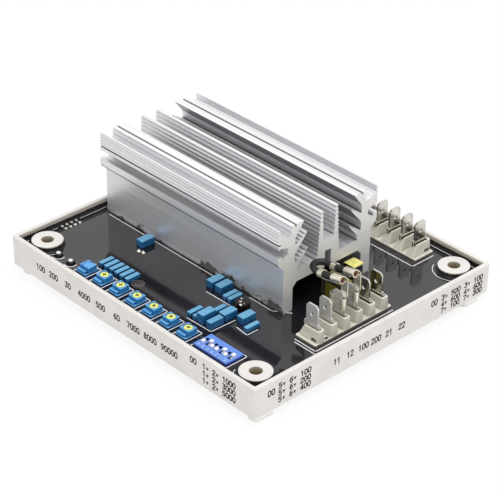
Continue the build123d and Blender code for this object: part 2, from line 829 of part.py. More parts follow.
# Wound parts in the mouth of the cavity
def make_wound_part(x, y, length, width, height, tape_low):
    """Core with two windows, a coil round its middle leg and a strap of tape over the top."""
    top = board_top + height
    body_length = length - 2 * tape_thickness
    core_top = top - tape_thickness
    core = block(around(x, body_length), around(y, width), (board_top, core_top))
    yoke = body_length * core_yoke_share
    core_leg = body_length * core_leg_share
    window_width = (body_length - 2 * yoke - core_leg) / 2
    window_levels = (board_top + height * 0.25, core_top - yoke)
    coil_limits = around(x, 2 * window_width + core_leg)
    for side in (-1, 1):
        window_x = x + side * (core_leg + window_width) / 2
        core -= block(around(window_x, window_width), around(y, width + 2), window_levels)
    coil_levels = (window_levels[0] + 0.1, window_levels[1] - 0.1)
    coil = block((coil_limits[0] + 0.1, coil_limits[1] - 0.1), around(y, width + 1.0), coil_levels)
    coil = fillet(coil.edges().filter_by(Axis.Z), 0.6)
    coil -= block(around(x, core_leg + 0.2), around(y, width + 0.2), coil_levels)
    tape = block(around(x, length), around(y, width), (tape_low, top))
    tape -= block(around(x, body_length), around(y, width + 2), (board_top, core_top))
    tape = fillet(tape.edges().filter_by(Axis.Y).group_by(Axis.Z)[-1], tape_thickness * 0.9)
    return core, coil, tape


# Trimmers
def trimmer_places():
    return [trimmer_first_x + way * trimmer_pitch for way in range(trimmer_count)]


def trimmer_head_limits():
    """Front and back of the head, which stands on the wider flange."""
    front = trimmer_y - trimmer_depth / 2 + trimmer_head_front
    return (front, trimmer_y + trimmer_depth / 2 - trimmer_head_back)


def make_trimmer_body(x, is_open):
    """Flange, square head and a low ledge along the front; an open one has a bore for its rotor."""
    top = board_top + trimmer_height
    flange_top = top - trimmer_flange_drop
    front = trimmer_y - trimmer_depth / 2
    head_front, head_back = trimmer_head_limits()
    body = block(around(x, trimmer_width), around(trimmer_y, trimmer_depth), (board_top, flange_top))
    body = fillet(body.edges().filter_by(Axis.Z), 0.3)
    head_sides = around(x, trimmer_width - 2 * trimmer_flange)
    head = block(head_sides, (head_front, head_back), (flange_top, top))
    head = chamfer(head.edges().filter_by(Axis.Z), trimmer_head_corner)
    body += chamfer(head.edges().group_by(Axis.Z)[-1], trimmer_head_edge)
    ledge_sides = (head_sides[0], head_sides[1] - trimmer_ledge_short)
    ledge_depths = (front + trimmer_ledge_front, head_front + trimmer_head_edge)
    ledge = block(ledge_sides, ledge_depths, (flange_top, top - trimmer_ledge_drop))
    front_edges = ledge.edges().filter_by(Axis.X).sort_by(Axis.Y)[:2]
    body += fillet(front_edges.sort_by(Axis.Z)[-1:], trimmer_ledge_radius)
    notch_sides = (head_sides[1] - trimmer_notch_depth, head_sides[1] + 1)
    notch_ys = around(head_back - trimmer_notch_back, trimmer_notch_width)
    body -= block(notch_sides, notch_ys, (top - trimmer_notch_drop, top + 1))
    centre_y = rotor_centre_y()
    body -= post(x, centre_y, (top - trimmer_recess_depth, top + 1), trimmer_recess_diameter)
    if is_open:
        seat = top - rotor_thickness - rotor_clearance
        bore = rotor_diameter + 2 * rotor_clearance
        stem_bore = rotor_stem_diameter + 2 * rotor_clearance
        body -= post(x, centre_y, (seat, top + 1), bore)
        body -= post(x, centre_y, (seat - rotor_stem_length - rotor_clearance, top), stem_bore)
    return body


def rotor_centre_y():
    """The rotor sits in the middle of the head."""
    return sum(trimmer_head_limits()) / 2


def make_trimmer_rotor(x, angle):
    """Turned disc on a stem, with a cross slot; angle is where the slot points."""
    top = board_top + trimmer_height
    seat = top - rotor_thickness
    y = rotor_centre_y()
    disc = post(x, y, (seat, top), rotor_diameter)
    disc = chamfer(disc.edges().group_by(Axis.Z)[-1], 0.2)
    rotor = disc + post(x, y, (seat - rotor_stem_length, seat), rotor_stem_diameter)
    for turn in (0, 90):
        slot = Rot(0, 0, angle + turn) * Box(rotor_slot_length, rotor_slot_width, 2 * rotor_slot_depth)
        rotor -= Pos(x, y, top) * slot
    return rotor


# Slide-switch block
def slider_places():
    first = switch_middle_x - (switch_ways - 1) * switch_pitch / 2
    return [first + way * switch_pitch for way in range(switch_ways)]


def make_switch_body():
    """Case with a chamber for each slider's base and a window for its knob."""
    top = board_top + switch_height
    body = block(around(switch_middle_x, switch_length), around(switch_y, switch_width), (board_top, top))
    body = fillet(body.edges().filter_by(Axis.Z), 0.3)
    body = chamfer(body.edges().group_by(Axis.Z)[-1], 0.25)
    gap = 2 * slider_clearance
    chamber_top = top - switch_lid
    chamber_levels = (chamber_top - slider_base_height - gap, chamber_top)
    for x in slider_places():
        window_length = slider_knob_length + slider_travel + gap
        chamber_length = slider_base_length + slider_travel + gap
        chamber_x = around(x, slider_base_width + gap)
        body -= block(chamber_x, around(switch_y, chamber_length), chamber_levels)
        window_x = around(x, slider_width + gap)
        body -= block(window_x, around(switch_y, window_length), (chamber_top - 0.1, top + 1))
    return body


def make_slider(x, is_up):
    """A knob on a wider base that the lid holds down."""
    top = board_top + switch_height
    chamber_top = top - switch_lid
    y = switch_y + (slider_travel / 2 if is_up else -slider_travel / 2)
    base_top = chamber_top - slider_clearance
    base_levels = (base_top - slider_base_height, base_top)
    slider = block(around(x, slider_base_width), around(y, slider_base_length), base_levels)
    knob = block(around(x, slider_width), around(y, slider_knob_length), (base_top, top + slider_knob_rise))
    knob = fillet(knob.edges().group_by(Axis.Z)[-1], 0.2)
    return slider + knob


# Film capacitors
def film_groups():
    """Each group is a list of (x, y, thickness, height above the board)."""
    thin = (film_thin, film_low)
    medium = (film_medium, film_middle)
    thick = (film_thick, film_middle)
    tall = (film_thick, film_high)

    def group(first_x, inset_y, *members):
        """Members are (distance from the first one, distance back, (thickness, height))."""
        y = -half_width + inset_y
        return [(first_x + along, y + back, *size) for along, back, size in members]

    row_x = trimmer_first_x + film_row_trimmer_x
    row = [(place * film_row_pitch, 0, thin) for place in range(film_row_count)]
    single_x = trimmer_first_x + film_single_trimmer_x
    rear_x = switch_middle_x + film_rear_switch_x
    middle_x = switch_middle_x + film_middle_switch_x
    right_x = switch_middle_x + film_right_switch_x
    rear_sizes = (thick, thick, thin, thin)
    rear_setbacks = (0, 0, -film_rear_setback, -film_rear_setback)
    rear = list(zip(film_rear_steps, rear_setbacks, rear_sizes))
    middle = [(step, 0, size) for step, size in zip(film_middle_steps, (thin, thin, tall, medium))]
    back_sizes = zip(film_middle_back_steps, (thin, thick))
    middle += [(step, film_middle_row_gap, size) for step, size in back_sizes]
    right = [(0, 0, thick), (film_right_step, -film_right_setback, thin)]
    return {
        "film_caps_row": group(row_x, film_row_inset_y, *row),
        "film_cap_single": group(single_x, film_single_inset_y, (0, 0, thick)),
        "film_caps_rear": group(rear_x, film_rear_inset_y, *rear),
        "film_caps_middle": group(middle_x, film_middle_inset_y, *middle),
        "film_caps_right": group(right_x, film_right_inset_y, *right),
    }


def make_film_capacitor(x, y, thickness, height):
    case = block(around(x, thickness), around(y, film_length), (board_top, board_top + height))
    edges = case.edges().filter_by(Axis.Z) + case.edges().group_by(Axis.Z)[-1]
    return fillet(edges, min(film_edge_radius, thickness / 5))


# Other small parts
def make_electrolytic():
    top = board_top + electrolytic_height
    can = post(electrolytic_x, electrolytic_y, (board_top, top), electrolytic_diameter)
    can = fillet(can.edges().group_by(Axis.Z)[-1], can_edge_radius)
    for angle in (45, 135):
        score = Rot(0, 0, angle) * Box(electrolytic_diameter * 0.55, score_width, score_width)
        can -= Pos(electrolytic_x, electrolytic_y, top) * score
    return can


def led_places():
    return [led_first_x, led_first_x + led_pitch]


def make_led(x):
    """Clear lens: a flange, a short barrel and a dome."""
    radius = led_diameter / 2
    shoulder = board_top + led_height - radius
    lens = post(x, led_y, (board_top, shoulder), led_diameter) + Pos(x, led_y, shoulder) * Sphere(radius)
    return lens + post(x, led_y, (board_top, board_top + led_flange_height), led_flange_diameter)


def pin_places():
    first_x = -half_length + pin_inset_x
    middle_y = -half_width + pin_middle_inset_y
    first_y = middle_y - (pin_rows - 1) * pin_pitch / 2
    rows = [first_y + row * pin_pitch for row in range(pin_rows)]
    return [(first_x + col * pin_pitch, y) for col in (0, 1) for y in rows]


def make_pin(x, y):
    pin = post(x, y, (board_top, resin_top + 0.3), pin_diameter)
    return fillet(pin.edges().group_by(Axis.Z)[-1], 0.25)


def make_disc():
    """Dipped disc that stands on edge, on two short leads."""
    radius = disc_diameter / 2
    middle = board_top + disc_lift + radius
    disc = Pos(disc_x, disc_y, middle) * Rot(90, 0, 0) * Cylinder(radius, disc_thickness)
    disc = fillet(disc.edges().filter_by(GeomType.CIRCLE), disc_thickness * 0.35)
    for side in (-1, 1):
        disc += post(disc_x + side * disc_diameter * 0.25, disc_y, (board_top, middle), 0.6)
    return disc


# Every piece by name
def make_pieces():
    pieces = {
        "tray": make_tray(),
        "circuit_board": make_board(),
        "potting_resin": make_resin(),
        "heatsink": make_heatsink(),
        "heatsink_screws": [make_heatsink_screw(x, y) for x, y in heatsink_screw_places()],
    }
    for number, x in enumerate(device_places(), 1):
        pieces[f"power_device_{number}"] = make_power_device(x)
        pieces[f"device_screw_{number}"] = make_device_screw(x)
    transformer = (transformer_x, transformer_y, transformer_length, transformer_width, transformer_height)
    core, coil, tape = make_wound_part(*transformer, resin_top + 0.5)
    pieces.update(transformer_core=core, transformer_coil=coil, transformer_tape=tape)
    choke = (choke_x, choke_y, choke_length, choke_width, choke_height)
    core, coil, tape = make_wound_part(*choke, board_top + choke_height - choke_tape_drop)
    pieces.update(choke_core=[core, coil], choke_tape=tape)
    housing = make_terminal_housing()
    blade = make_blade()
    pieces["front_terminal_housing"] = front_block_place() * housing
    pieces["rear_terminal_housing"] = rear_block_place() * housing
    for number, offset in enumerate(way_offsets(), 1):
        pieces[f"front_blade_{number}"] = front_block_place() * Pos(0, offset, 0) * blade
    pieces["rear_blades"] = [rear_block_place() * Pos(0, offset, 0) * blade for offset in way_offsets()]
    receptacle = make_flag_receptacle()
    for number, y in enumerate(jumper_blade_ys(), 1):
        pieces[f"flag_receptacle_{number}"] = Pos(terminal_x, y, blade_foot) * receptacle
    pieces["jumper_wire"] = make_jumper_wire()
    pieces["wire_strands"] = [make_wire_strands(y) for y in jumper_blade_ys()]
    pieces["dip_switch_body"] = make_switch_body()
    for number, (x, is_up) in enumerate(zip(slider_places(), slider_is_up), 1):
        pieces[f"dip_slider_{number}"] = make_slider(x, is_up)
    for number, x in enumerate(trimmer_places(), 1):
        is_open = number > 1
        pieces[f"trimmer_body_{number}"] = make_trimmer_body(x, is_open)
        if is_open:
            pieces[f"trimmer_rotor_{number}"] = make_trimmer_rotor(x, rotor_angles[number - 2])
    for name, group in film_groups().items():
        pieces[name] = [make_film_capacitor(*place) for place in group]
    pieces["electrolytic_capacitor"] = make_electrolytic()
    for number, x in enumerate(led_places(), 1):
        pieces[f"indicator_led_{number}"] = make_led(x)
    pieces["service_pins"] = [make_pin(x, y) for x, y in pin_places()]
    pieces["disc_capacitor"] = make_disc()
    return pieces


os.makedirs("parts", exist_ok=True)
for name, piece in make_pieces().items():
    shape = Compound(children=piece) if isinstance(piece, list) else piece
    export_step(shape, f"parts/{name}.step")
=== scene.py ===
import math

import bpy
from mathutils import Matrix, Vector


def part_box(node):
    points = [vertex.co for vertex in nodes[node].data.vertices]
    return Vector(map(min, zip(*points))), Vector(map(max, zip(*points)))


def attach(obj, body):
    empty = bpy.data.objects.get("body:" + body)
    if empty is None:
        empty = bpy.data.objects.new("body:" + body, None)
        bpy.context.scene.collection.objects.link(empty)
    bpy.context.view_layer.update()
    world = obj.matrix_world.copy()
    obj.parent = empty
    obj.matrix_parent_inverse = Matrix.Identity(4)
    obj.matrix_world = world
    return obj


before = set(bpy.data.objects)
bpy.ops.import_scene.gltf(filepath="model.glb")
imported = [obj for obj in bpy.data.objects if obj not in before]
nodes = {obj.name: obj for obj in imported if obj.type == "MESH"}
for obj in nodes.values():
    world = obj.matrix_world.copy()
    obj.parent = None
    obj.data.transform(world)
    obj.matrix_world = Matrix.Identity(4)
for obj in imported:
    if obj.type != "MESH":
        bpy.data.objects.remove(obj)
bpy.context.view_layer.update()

# Camera, found from the photo: millimetres and degrees, over the floor
CAMERA_PLACE = (498.727, -475.786, 445.142)
CAMERA_AZIMUTH = 46.32
CAMERA_ELEVATION = 31.84
CAMERA_ROLL = 1.014
CAMERA_LENS = 139.08

# Places on the part, millimetres. The walls stand WALL_SET_IN inside the tray's full size at the
# floor, and lean out by WALL_LEAN for each millimetre of height.
TRAY_HALF_X = 75.0
TRAY_HALF_Y = 67.4
WALL_SET_IN = 0.1266
WALL_LEAN = 0.00719
WALL_FACE_DEPTH = 1.2
FOOT_HEIGHT = 3.7
BOSS_X = 64.35
BOSS_Y = 56.75
BOSS_RADIUS = 6.82
BOSSES = [(x, y) for x in (-BOSS_X, BOSS_X) for y in (-BOSS_Y, BOSS_Y)]
FRONT_LEG_LIMIT_Y = -19.7
SMEAR_HEIGHT = 5.2
# Tape nearer the front than this is given painted shade.
PAINTED_SHADE_TAPE_LIMIT_Y = 10.0
PLUG_HALF_WIDTH = 1.9
SOLDER_PLACES = ((-34.4, -31.4), (-32.2, -30.9))
SATIN_BLADES = 4
TRIMMERS = 7
SWITCH_WAYS = 7

# Printed marks, millimetres
PRINT_LIFT = 0.012
PRINT_STROKE = 0.56
LABEL_MIDDLE = 10.2
DIGIT_WIDTH = 1.35
DIGIT_HEIGHT = 2.5
DIGIT_STEP = 2.0
ROW_DIGIT_HEIGHT = 2.2
SWITCH_DIGIT_INSET = 1.3
SILK_STROKE = 0.45
BORDER_STROKE = 0.3
BORDER_INSET = 1.1
TRIMMER_MARGIN = 0.9
SWITCH_MARGIN = 0.7
LED_RING_RADIUS = 2.9
BOSS_RING_RADIUS = 8.9
BOSS_RING_STROKE = 0.35
BOARD_RINGS_PLACE = (-15.3, -48.2)
BOARD_RINGS_RADII = (1.3, 2.5)

# Studio: metres, watts, and the share of plain white that the camera sees in the floor
FLOOR_SIZE = 6.0
FLOOR_GLOW = 0.88
KEY_PLACE = (0.3, -0.05, 1.17)
KEY_SIZE = 0.7
KEY_POWER = 6.0


def linear(value):
    """A 0 to 255 screen value as scene-linear light."""
    share = value / 255
    return share / 12.92 if share <= 0.04045 else ((share + 0.055) / 1.055) ** 2.4


def colour(red, green, blue):
    return (linear(red), linear(green), linear(blue), 1.0)


def box_mm(node):
    """Lowest and highest corners of a node, in millimetres."""
    return tuple(tuple(value * 1000 for value in corner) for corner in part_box(node))


RESIN_TOP = box_mm("potting_resin")[1][2]


class Finish:
    """A material under construction: a Principled shader and the nodes that feed it."""

    # Sockets of a Mix node that mixes colours, which share their names with others
    MIX_FACTOR = 0
    MIX_FIRST = 6
    MIX_SECOND = 7
    MIX_RESULT = 2

    def __init__(self, name, **numbers):
        self.material = bpy.data.materials.new(name + "_finish")
        self.material.use_nodes = True
        self.tree = self.material.node_tree
        self.shader = self.tree.nodes["Principled BSDF"]
        for socket, value in numbers.items():
            self.shader.inputs[socket.replace("_", " ")].default_value = value
        self.place = self.add("ShaderNodeTexCoord").outputs["Object"]

    def add(self, kind, settings=None, **inputs):
        node = self.tree.nodes.new(kind)
        for key, value in (settings or {}).items():
            setattr(node, key, value)
        for key, value in inputs.items():
            self.feed(node.inputs[key.replace("_", " ")], value)
        return node

    def feed(self, socket, value):
        if isinstance(value, bpy.types.NodeSocket):
            self.tree.links.new(value, socket)
        else:
            socket.default_value = value

    def set(self, socket, value):
        self.feed(self.shader.inputs[socket], value)

    def colour_so_far(self):
        """What feeds the base colour until now."""
        return self.shader.inputs["Base Color"].links[0].from_socket

    def stretched(self, scale):
        """Object coordinates, multiplied by scale per axis."""
        return self.add("ShaderNodeMapping", Vector=self.place, Scale=scale).outputs["Vector"]

    def noise(self, scale, detail=3.0, vector=None, roughness=0.5):
        source = vector or self.place
        node = self.add("ShaderNodeTexNoise", Vector=source, Scale=scale, Detail=detail,
                        Roughness=roughness)
        return node.outputs["Fac"]

    def waves(self, scale, axis, distortion=0.0):
        settings = {"wave_type": "BANDS", "bands_direction": axis}
        node = self.add("ShaderNodeTexWave", settings, Vector=self.place, Scale=scale,
                        Distortion=distortion)
        return node.outputs["Fac"]

    def ramp(self, fac, *stops):
        """Stops are (position, value or colour)."""
        node = self.add("ShaderNodeValToRGB", Fac=fac)
        points = node.color_ramp.elements
        while len(points) < len(stops):
            points.new(0.5)
        for point, (position, value) in zip(points, stops):
            point.position = position
            point.color = value if isinstance(value, tuple) else (value, value, value, 1.0)
        return node.outputs["Color"]

    def blend(self, fac, first, second):
        node = self.add("ShaderNodeMix", {"data_type": "RGBA"})
        self.feed(node.inputs[self.MIX_FACTOR], fac)
        self.feed(node.inputs[self.MIX_FIRST], first)
        self.feed(node.inputs[self.MIX_SECOND], second)
        return node.outputs[self.MIX_RESULT]

    def calc(self, operation, first, second):
        node = self.add("ShaderNodeMath", {"operation": operation})
        self.feed(node.inputs[0], first)
        self.feed(node.inputs[1], second)
        return node.outputs[0]

    def between(self, value, low, high, first=0.0, second=1.0):
        """Smooth change from first to second as value goes from low to high."""
        settings = {"interpolation_type": "SMOOTHSTEP"}
        node = self.add("ShaderNodeMapRange", settings, Value=value, From_Min=low, From_Max=high,
                        To_Min=first, To_Max=second)
        return node.outputs["Result"]

    def parts(self, vector):
        """The x, y and z outputs of a vector."""
        return self.add("ShaderNodeSeparateXYZ", Vector=vector).outputs

    def facing(self):
        """The three parts of the surface's own direction."""
        return self.parts(self.add("ShaderNodeNewGeometry").outputs["True Normal"])

    def rounded(self, radius):
        """Normal of the surface with its edges rounded."""
        return self.add("ShaderNodeBevel", {"samples": 6}, Radius=radius).outputs["Normal"]

    def on_edges(self, radius):
        """One along the edges, none on the flats."""
        own = self.add("ShaderNodeNewGeometry").outputs["True Normal"]
        settings = {"operation": "DOT_PRODUCT"}
        node = self.add("ShaderNodeVectorMath", settings)
        self.feed(node.inputs[0], self.rounded(radius))
        self.feed(node.inputs[1], own)
        return self.between(node.outputs["Value"], 0.86, 0.98, 1.0, 0.0)

    def openness(self, distance):
        """One in the open, falling to none deep in corners and slots."""
        return self.add("ShaderNodeAmbientOcclusion", {"samples": 8}, Distance=distance).outputs["AO"]

    def upward(self):
        """One on faces that look up."""
        return self.between(self.facing()[2], 0.6, 0.85)

    def bump(self, height, depth, strength=0.5, edge=0.0):
        """Relief of a depth in metres, over edges rounded by the edge radius."""
        node = self.add("ShaderNodeBump", Height=height, Distance=depth, Strength=strength)
        if edge:
            self.feed(node.inputs["Normal"], self.rounded(edge))
        self.feed(self.shader.inputs["Normal"], node.outputs["Normal"])


# Materials
def plastic(name, base, roughness, grain=900.0, depth=0.00004, tone=0.06, top=None, edge=None,
            hollow=None, reach=0.0015, rounding=0.0002):
    """Moulded plastic: fine grain, faint mottling and softened edges, with painted light: lighter
    tops, painted highlights on the edges and painted shade in slots and corners.

    top is the painted light colour of the upward faces, edge the painted highlight colour of the
    edges and hollow the painted shade colour of slots and corners. tone is how far the mottling
    darkens the colour.
    """
    finish = Finish(name, IOR=1.46)
    mottle = finish.between(finish.noise(120.0, 4.0), 0.35, 0.65)
    # Painted light: upward faces take the lighter top colour.
    tint = finish.blend(finish.upward(), base, top) if top else base
    grime = finish.blend(1.0, tint, tuple(1 - tone for _ in range(3)) + (1.0,))
    grime.node.blend_type = "MULTIPLY"
    tint = finish.blend(mottle, grime, tint)
    # Painted highlight: the edges take the edge colour.
    if edge:
        tint = finish.blend(finish.on_edges(rounding), tint, edge)
    # Painted shade: slots and corners take the hollow colour, by ambient occlusion.
    if hollow:
        tint = finish.blend(finish.between(finish.openness(reach), 0.25, 0.8), hollow, tint)
    finish.set("Base Color", tint)
    polish = finish.noise(300.0)
    finish.set("Roughness", finish.between(polish, 0.3, 0.7, roughness * 0.85, roughness * 1.15))
    finish.bump(finish.noise(grain, 2.0), depth, edge=rounding)
    return finish


def board_finish():
    """Dark green laminate with its weave."""
    finish = Finish("board", Roughness=0.6)
    weave = finish.calc("MULTIPLY", finish.waves(500.0, "X"), finish.waves(500.0, "Y"))
    finish.set("Base Color", finish.ramp(weave, (0.0, colour(18, 26, 20)), (1.0, colour(32, 44, 34))))
    return finish.material


def resin_finish():
    """Clear pour over a black board: glossy, slightly wavy, with faint tracks below."""
    finish = Finish("resin", IOR=1.66)
    tracks = finish.add("ShaderNodeTexVoronoi", Vector=finish.place, Scale=160.0)
    below = finish.ramp(tracks.outputs["Distance"], (0.1, colour(25, 22, 28)), (0.7, colour(15, 13, 17)))
    cloud = finish.between(finish.noise(28.0, 4.0), 0.42, 0.66)
    haze = finish.blend(cloud, below, colour(30, 27, 32))
    dust = finish.between(finish.noise(1400.0, 2.0), 0.72, 0.78)
    finish.set("Base Color", finish.blend(dust, haze, colour(96, 92, 96)))
    finish.set("Roughness", finish.between(finish.noise(60.0), 0.3, 0.7, 0.03, 0.09))
    finish.bump(finish.noise(45.0, 2.0), 0.0003, 0.25)
    return finish.material


def heatsink_finish():
    """Extruded aluminium: drawn lines along X, sawn ends, and smears low on the front leg, with
    painted light on the tops and edges and painted shade in the grooves and on faces that look down.
    """
    finish = Finish("heatsink", Metallic=0.66)
    x, y, z = finish.parts(finish.place)
    drawn = finish.noise(1.0, 4.0, finish.stretched((6.0, 900.0, 900.0)))
    sawn = finish.noise(1.0, 3.0, finish.stretched((1.0, 60.0, 2200.0)))
    end_x = finish.calc("ABSOLUTE", finish.facing()[0], 0.0)
    is_end = finish.calc("GREATER_THAN", end_x, 0.9)
    metal = finish.ramp(drawn, (0.25, colour(215, 215, 218)), (0.75, colour(232, 232, 234)))
    cut = finish.ramp(sawn, (0.25, colour(226, 225, 222)), (0.75, colour(244, 243, 240)))
    # Painted light: upward faces take a lighter ramp.
    painted_light = finish.ramp(drawn, (0.3, colour(216, 216, 218)), (0.65, colour(246, 246, 247)))
    metal = finish.blend(finish.upward(), metal, painted_light)
    # Painted highlight along the edges.
    metal = finish.blend(finish.on_edges(0.00012), metal, colour(250, 250, 250))
    # Painted shade in the grooves, by ambient occlusion.
    painted_groove_shade = finish.between(finish.openness(0.0013), 0.4, 0.93, 1.0, 0.0)
    metal = finish.blend(painted_groove_shade, metal, colour(94, 94, 98))
    # Painted shade on faces that look down.
    painted_underside_shade = finish.between(finish.facing()[2], -0.5, -0.15, 1.0, 0.0)
    metal = finish.blend(painted_underside_shade, metal, colour(152, 152, 156))
    base = finish.blend(is_end, metal, cut)
    # Smears that rise from the pour with a ragged edge, higher towards the right
    cloud = finish.noise(1.0, 5.0, finish.stretched((95.0, 60.0, 130.0)), roughness=0.62)
    more = finish.between(x, -0.045, 0.02, 0.0, 0.07)
    foot, smear_top = RESIN_TOP / 1000, (RESIN_TOP + SMEAR_HEIGHT) / 1000
    edge = finish.between(finish.calc("ADD", cloud, more), 0.5, 0.72, foot, smear_top)
    low = finish.between(finish.calc("SUBTRACT", z, edge), -0.0005, 0.0003, 1.0, 0.0)
    front = finish.calc("LESS_THAN", y, FRONT_LEG_LIMIT_Y / 1000)
    smear = finish.calc("MULTIPLY", finish.calc("MULTIPLY", low, front), 0.82)
    specks = finish.noise(700.0, 3.0)
    soiled = finish.ramp(specks, (0.3, colour(52, 46, 40)), (0.7, colour(104, 96, 90)))
    finish.set("Base Color", finish.blend(smear, base, soiled))
    rough = finish.between(drawn, 0.3, 0.7, 0.34, 0.44)
    finish.set("Roughness", finish.calc("ADD", rough, finish.calc("MULTIPLY", is_end, 0.15)))
    lines = finish.blend(is_end, drawn, sawn)
    finish.bump(lines, 0.00003, 0.4)
    return finish.material


def metal_finish(name, light, dark, roughness, scale=260.0, metallic=1.0):
    """Plated metal, clouded between a light and a dark tone."""
    finish = Finish(name, Metallic=metallic)
    cloud = finish.noise(scale, 4.0)
    finish.set("Base Color", finish.ramp(cloud, (0.3, dark), (0.7, light)))
    finish.set("Roughness", finish.between(cloud, 0.3, 0.7, roughness * 1.25, roughness * 0.8))
    finish.bump(finish.noise(900.0, 2.0), 0.00002, 0.3, edge=0.00015)
    return finish.material


def coil_finish():
    """Varnished turns under olive tape."""
    finish = Finish("coil", Roughness=0.3)
    turns = finish.waves(700.0, "Z", 0.4)
    finish.set("Base Color", finish.ramp(turns, (0.2, colour(74, 70, 20)), (0.8, colour(134, 126, 44))))
    finish.bump(turns, 0.0001)
    return finish.material


def tape_finish():
    """Pale yellow tape, turned olive by painted shade on the one nearer the front block."""
    finish = Finish("tape", IOR=1.5)
    y = finish.parts(finish.place)[1]
    in_painted_shade = finish.calc("LESS_THAN", y, PAINTED_SHADE_TAPE_LIMIT_Y / 1000)
    shade = finish.noise(220.0, 4.0)
    yellow = finish.ramp(shade, (0.3, colour(222, 214, 122)), (0.7, colour(240, 234, 150)))
    # Olive: the yellow tape in painted shade.
    olive = finish.ramp(shade, (0.3, colour(96, 88, 32)), (0.7, colour(132, 122, 52)))
    finish.set("Base Color", finish.blend(in_painted_shade, yellow, olive))
    finish.set("Roughness", finish.between(shade, 0.3, 0.7, 0.25, 0.4))
    return finish.material


def strand_finish():
    """Bare copper strands, twisted."""
    finish = Finish("strands", Metallic=1.0, Roughness=0.4)
    settings = {"bands_direction": "DIAGONAL"}
    twist = finish.add("ShaderNodeTexWave", settings, Vector=finish.place, Scale=420.0)
    lay = twist.outputs["Fac"]
    finish.set("Base Color", finish.ramp(lay, (0.2, colour(92, 52, 34)), (0.8, colour(176, 118, 86))))
    finish.bump(lay, 0.0002)
    return finish.material


def led_finish():
    """Dark clear dome, with a painted highlight on its top where it mirrors the light."""
    finish = Finish("led", Roughness=0.07, IOR=1.9)
    z = finish.parts(finish.place)[2]
    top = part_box("indicator_led_1")[1][2]
    inner = finish.noise(350.0, 2.0)
    dome = finish.ramp(inner, (0.3, colour(24, 24, 28)), (0.7, colour(46, 46, 50)))
    # Painted highlight on the top of the dome.
    painted_crown_highlight = finish.between(z, top - 0.0006, top - 0.00025)
    finish.set("Base Color", finish.blend(painted_crown_highlight, dome, colour(226, 228, 232)))
    return finish.material


def electrolytic_finish():
    """Dark sleeve, reddish in the light, with small painted glints round the crimped top."""
    finish = Finish("electrolytic", Roughness=0.3, IOR=1.42)
    z = finish.parts(finish.place)[2]
    sleeve = finish.ramp(finish.noise(300.0, 3.0), (0.3, colour(8, 5, 6)), (0.7, colour(32, 15, 15)))
    # Painted glints: light specks painted near the crimped top.
    painted_glint = finish.between(finish.noise(620.0, 2.0), 0.6, 0.64)
    can_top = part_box("electrolytic_capacitor")[1][2]
    high = finish.between(z, can_top - 0.0009, can_top - 0.0004)
    painted_light = finish.calc("MULTIPLY", painted_glint, high)
    finish.set("Base Color", finish.blend(painted_light, sleeve, colour(236, 236, 238)))
    return finish.material


def rotor_finish(top):
    """Lime plastic, with painted shade in its driver slot."""
    finish = plastic("rotor", colour(226, 232, 132), 0.4)
    z = finish.parts(finish.place)[2]
    # Painted shade in the driver slot, below its rim.
    deep = finish.between(z, top - 0.00055, top - 0.0002, 1.0, 0.0)
    lit = finish.colour_so_far()
    finish.set("Base Color", finish.blend(deep, lit, colour(112, 104, 24)))
    return finish.material


def add_inside_colour(finish):
    """Painted shade: the walls' inner faces turn tan low down, over the pour. Painted light: the
    foot faces are painted pale against their shadow.
    """
    x, y, z = finish.parts(finish.place)
    reach_x = (TRAY_HALF_X - WALL_FACE_DEPTH) / 1000
    reach_y = (TRAY_HALF_Y - WALL_FACE_DEPTH) / 1000
    within_x = finish.calc("LESS_THAN", finish.calc("ABSOLUTE", x, 0.0), reach_x)
    within_y = finish.calc("LESS_THAN", finish.calc("ABSOLUTE", y, 0.0), reach_y)
    rim_top = box_mm("tray")[1][2] / 1000
    low = finish.between(z, rim_top - 0.0042, rim_top - 0.0003, 1.0, 0.25)
    inside = finish.calc("MULTIPLY", finish.calc("MULTIPLY", within_x, within_y), low)
    upright = finish.calc("SUBTRACT", 1.0, finish.upward())
    lit = finish.colour_so_far()
    # Painted shade: upright inner faces low on the walls turn tan.
    painted_shade_tan = finish.blend(finish.calc("MULTIPLY", inside, upright), lit, colour(150, 132, 102))
    # Painted light: the foot faces, below the foot height, are painted pale against their shadow.
    painted_light_feet = finish.between(z, FOOT_HEIGHT / 1000 - 0.0001, FOOT_HEIGHT / 1000 + 0.0003, 1.0, 0.0)
    finish.set("Base Color", finish.blend(painted_light_feet, painted_shade_tan, colour(244, 242, 239)))


def add_plug_colour(finish):
    """The first trimmer is capped by a deeper blue plug."""
    low, high = box_mm("trimmer_body_1")
    x, y, z = finish.parts(finish.place)
    first = finish.calc("LESS_THAN", x, (high[0] + 0.5) / 1000)
    lid = finish.calc("GREATER_THAN", z, (high[2] - 0.2) / 1000)
    middle_x, middle_y = (low[0] + high[0]) / 2000, (low[1] + high[1]) / 2000
    off_x = finish.calc("ABSOLUTE", finish.calc("SUBTRACT", x, middle_x), 0.0)
    off_y = finish.calc("ABSOLUTE", finish.calc("SUBTRACT", y, middle_y), 0.0)
    inside = finish.calc("LESS_THAN", finish.calc("MAXIMUM", off_x, off_y), PLUG_HALF_WIDTH / 1000)
    plug = finish.calc("MULTIPLY", finish.calc("MULTIPLY", first, lid), inside)
    lit = finish.colour_so_far()
    finish.set("Base Color", finish.blend(plug, lit, colour(66, 120, 214)))


